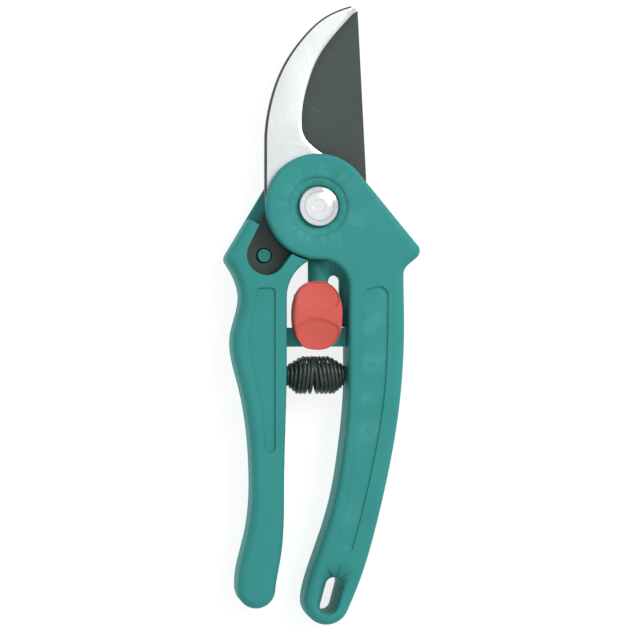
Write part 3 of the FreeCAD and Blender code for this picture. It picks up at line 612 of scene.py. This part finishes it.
def makeCoilTree(inputs):
    tree = bpy.data.node_groups.new("barrelCoil", "GeometryNodeTree")
    for label, (kind, value) in inputs.items():
        tree.interface.new_socket(label, in_out="INPUT", socket_type=kind).default_value = value
    tree.interface.new_socket("Geometry", in_out="OUTPUT", socket_type="NodeSocketGeometry")
    given = addNode(tree, "NodeGroupInput", (-1400, 0)).outputs
    line = addNode(tree, "GeometryNodeCurvePrimitiveLine", (-1200, 300))
    points = addNode(tree, "GeometryNodeResampleCurve", (-1000, 300))
    feed(tree, points.inputs["Curve"], line.outputs["Curve"])
    feed(tree, points.inputs["Count"], given["Points"])
    share = addNode(tree, "GeometryNodeSplineParameter", (-1200, -100)).outputs["Factor"]
    angle = mathNode(tree, "MULTIPLY", share, mathNode(tree, "MULTIPLY", given["Turns"], math.tau))
    up = mathNode(tree, "COSINE", angle)
    out = mathNode(tree, "SINE", angle)
    # the coils grow from the end radius to the middle radius
    fromEnd = mathNode(tree, "MINIMUM", share, mathNode(tree, "SUBTRACT", 1.0, share))
    rise = mathNode(tree, "DIVIDE", fromEnd, given["Taper"], clamp=True)
    gained = mathNode(tree, "MULTIPLY", rise, springSize["swellGain"])
    swell = mathNode(tree, "SMOOTH_MIN", gained, 1.0, springSize["swellSoftness"])
    spread = mathNode(tree, "SUBTRACT", given["Middle Radius"], given["End Radius"])
    radius = mathNode(tree, "MULTIPLY_ADD", spread, swell, given["End Radius"])
    # they don't lie quite evenly
    wobble = addNode(tree, "ShaderNodeTexNoise", (-700, -500), noise_dimensions="1D")
    feed(tree, wobble.inputs["W"], mathNode(tree, "MULTIPLY", angle, springSize["wanderPace"]))
    wobble.inputs["Scale"].default_value = 1.0
    wobble.inputs["Detail"].default_value = 1.0
    shake = mathNode(tree, "SUBTRACT", wobble.outputs["Fac"], 0.5)
    shaken = mathNode(tree, "MULTIPLY", shake, springSize["wanderGain"])
    sideStep = mathNode(tree, "MULTIPLY", shaken, mathNode(tree, "MULTIPLY", rise, given["Wander"]))
    # they open out like a fan on the side away from the blades
    centred = mathNode(tree, "SUBTRACT", share, springSize["fanCentre"])
    fromMiddle = mathNode(tree, "TANH", mathNode(tree, "MULTIPLY", centred, springSize["fanSharpness"]))
    low = mathNode(tree, "SUBTRACT", 0.0, up)
    fanned = mathNode(tree, "MULTIPLY", mathNode(tree, "MULTIPLY", fromMiddle, low),
                      mathNode(tree, "MULTIPLY", given["Fan"], rise))
    # the end coils lie closer together and the turns between them open up
    wave = mathNode(tree, "SINE", mathNode(tree, "MULTIPLY", share, math.tau))
    closed = mathNode(tree, "MULTIPLY", wave, mathNode(tree, "DIVIDE", given["Closing"], math.tau))
    advance = mathNode(tree, "SUBTRACT", share, closed)
    shift = mathNode(tree, "ADD", sideStep, fanned)
    place = addNode(tree, "ShaderNodeCombineXYZ", (-200, 0))
    feed(tree, place.inputs["X"], mathNode(tree, "MULTIPLY_ADD", advance, given["Length"], shift))
    feed(tree, place.inputs["Y"], mathNode(tree, "MULTIPLY", up, radius))
    feed(tree, place.inputs["Z"], mathNode(tree, "MULTIPLY", out, radius))
    moved = addNode(tree, "GeometryNodeSetPosition", (0, 300))
    feed(tree, moved.inputs["Geometry"], points.outputs["Curve"])
    feed(tree, moved.inputs["Position"], place.outputs["Vector"])
    section = addNode(tree, "GeometryNodeCurvePrimitiveCircle", (0, -200))
    section.inputs["Resolution"].default_value = springSize["wireSides"]
    feed(tree, section.inputs["Radius"], given["Wire Radius"])
    wire = addNode(tree, "GeometryNodeCurveToMesh", (250, 300))
    feed(tree, wire.inputs["Curve"], moved.outputs["Geometry"])
    feed(tree, wire.inputs["Profile Curve"], section.outputs["Curve"])
    wire.inputs["Fill Caps"].default_value = True
    smooth = addNode(tree, "GeometryNodeSetShadeSmooth", (450, 300))
    feed(tree, smooth.inputs["Geometry"], wire.outputs["Mesh"])
    real = addNode(tree, "GeometryNodeRealizeInstances", (650, 300))
    feed(tree, real.inputs["Geometry"], smooth.outputs["Geometry"])
    finish = addNode(tree, "GeometryNodeSetMaterial", (850, 300))
    feed(tree, finish.inputs["Geometry"], real.outputs["Geometry"])
    feed(tree, finish.inputs["Material"], given["Wire Finish"])
    result = addNode(tree, "NodeGroupOutput", (1050, 300))
    feed(tree, result.inputs["Geometry"], finish.outputs["Geometry"])
    return tree


def windCoil(inputs):
    holder = addPiece("spring_path", bpy.data.meshes.new("spring_path"))
    modifier = holder.modifiers.new("coil", "NODES")
    tree = makeCoilTree(inputs)
    modifier.node_group = tree
    for item in tree.interface.items_tree:
        if item.in_out == "INPUT":
            modifier[item.identifier] = inputs[item.name][1]
    coil = finalMesh(holder)
    bpy.data.objects.remove(holder)
    return coil


def makeSpring():
    low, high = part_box("return_spring")
    middle = (low + high) / 2
    wire = springSize["wireRadius"]
    coil = windCoil({
        "Turns": ("NodeSocketFloat", springSize["turns"]),
        "Length": ("NodeSocketFloat", high.x - low.x - 2 * wire),
        "End Radius": ("NodeSocketFloat", springSize["endRadius"]),
        "Middle Radius": ("NodeSocketFloat", springSize["middleRadius"]),
        "Taper": ("NodeSocketFloat", springSize["taper"]),
        "Closing": ("NodeSocketFloat", springSize["closing"]),
        "Wire Radius": ("NodeSocketFloat", wire),
        "Fan": ("NodeSocketFloat", springSize["fan"]),
        "Wander": ("NodeSocketFloat", springSize["wander"]),
        "Points": ("NodeSocketInt", int(springSize["turns"] * springSize["stepsPerTurn"])),
        "Wire Finish": ("NodeSocketMaterial", finishes["blackOxide"])})
    for vert in coil.vertices:
        vert.co += Vector((low.x + wire, middle.y, middle.z))
    piece = addPiece("return_spring_coil", coil)
    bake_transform(piece, "moving_side", "fixed_side",
             start=(low.x, middle.y, middle.z), end=(high.x, middle.y, middle.z))
    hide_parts("return_spring")
    return piece


spring = makeSpring()
print("spring:", len(spring.data.polygons), "faces")


# floor, light and camera
floorLook = {"half": 3.0, "level": -0.1 * mm, "colour": (0.28, 0.28, 0.28, 1.0), "glow": 0.82,
             "glowColour": (1.0, 1.0, 1.0, 1.0), "roughness": 0.9, "specular": 0.1}


def makeFloor():
    # it lies a hair below the shears, so that the two surfaces never share a plane
    mesh = bpy.data.meshes.new("floor")
    half, level = floorLook["half"], floorLook["level"]
    corners = [(-half, -half, level), (half, -half, level), (half, half, level), (-half, half, level)]
    mesh.from_pydata(corners, [], [(0, 1, 2, 3)])
    floor = addPiece("floor", mesh)
    material, _, surface = newMaterial("pale floor")
    for name, key in (("Base Color", "colour"), ("Roughness", "roughness"),
                      ("Specular IOR Level", "specular"), ("Emission Color", "glowColour"),
                      ("Emission Strength", "glow")):
        surface.inputs[name].default_value = floorLook[key]
    mesh.materials.append(material)


keyLight = {"place": (0.55, 0.50, 0.80), "aim": (0, -0.03, 0), "size": (0.55, 0.55), "power": 5.5}


def makeKeyLight():
    data = bpy.data.lights.new("key softbox", "AREA")
    data.shape = "RECTANGLE"
    data.size, data.size_y = keyLight["size"]
    data.energy = keyLight["power"]
    lamp = bpy.data.objects.new("key softbox", data)
    lamp.location = keyLight["place"]
    toAim = Vector(keyLight["aim"]) - Vector(keyLight["place"])
    lamp.rotation_euler = toAim.to_track_quat("-Z", "Y").to_euler()
    bpy.context.scene.collection.objects.link(lamp)


cameraView = {"aim": (0.3 * mm, -36.8 * mm, 15 * mm), "tilt": math.radians(8.5), "distance": 705 * mm,
              "widthSeen": 207 * mm, "sensorWidth": 36.0, "nearest": 0.05, "farthest": 20.0}


def makeCamera():
    data = bpy.data.cameras.new("camera")
    data.sensor_width = cameraView["sensorWidth"]
    data.lens = data.sensor_width * cameraView["distance"] / cameraView["widthSeen"]
    data.clip_start = cameraView["nearest"]
    data.clip_end = cameraView["farthest"]
    camera = bpy.data.objects.new("camera", data)
    tilt = cameraView["tilt"]
    away = Vector((-math.sin(tilt), 0, math.cos(tilt)))
    camera.location = Vector(cameraView["aim"]) + away * cameraView["distance"]
    camera.rotation_euler = (0, -tilt, 0)
    bpy.context.scene.collection.objects.link(camera)
    bpy.context.scene.camera = camera


tentLight = {"colour": (1.0, 1.0, 1.0, 1.0), "lowStrength": 0.30, "highStrength": 0.86,
             "lowHeight": 0.1, "highHeight": 0.9}


def makeTent():
    # a bright tent overhead that falls off towards the horizon
    world = bpy.data.worlds.new("studio")
    world.use_nodes = True
    tree = world.node_tree
    sky = tree.nodes["Background"]
    direction = addNode(tree, "ShaderNodeTexCoord", (-800, 0)).outputs["Generated"]
    height = addNode(tree, "ShaderNodeSeparateXYZ", (-600, 0))
    feed(tree, height.inputs[0], direction)
    strength = mapRange(tree, height.outputs["Z"], tentLight["lowHeight"], tentLight["highHeight"],
                        tentLight["lowStrength"], tentLight["highStrength"], (-300, 0))
    feed(tree, sky.inputs["Strength"], strength)
    sky.inputs["Color"].default_value = tentLight["colour"]
    bpy.context.scene.world = world


bpy.context.scene.view_settings.view_transform = "Standard"
makeTent()
makeFloor()
makeKeyLight()
makeCamera()
print("stage, light and camera placed")
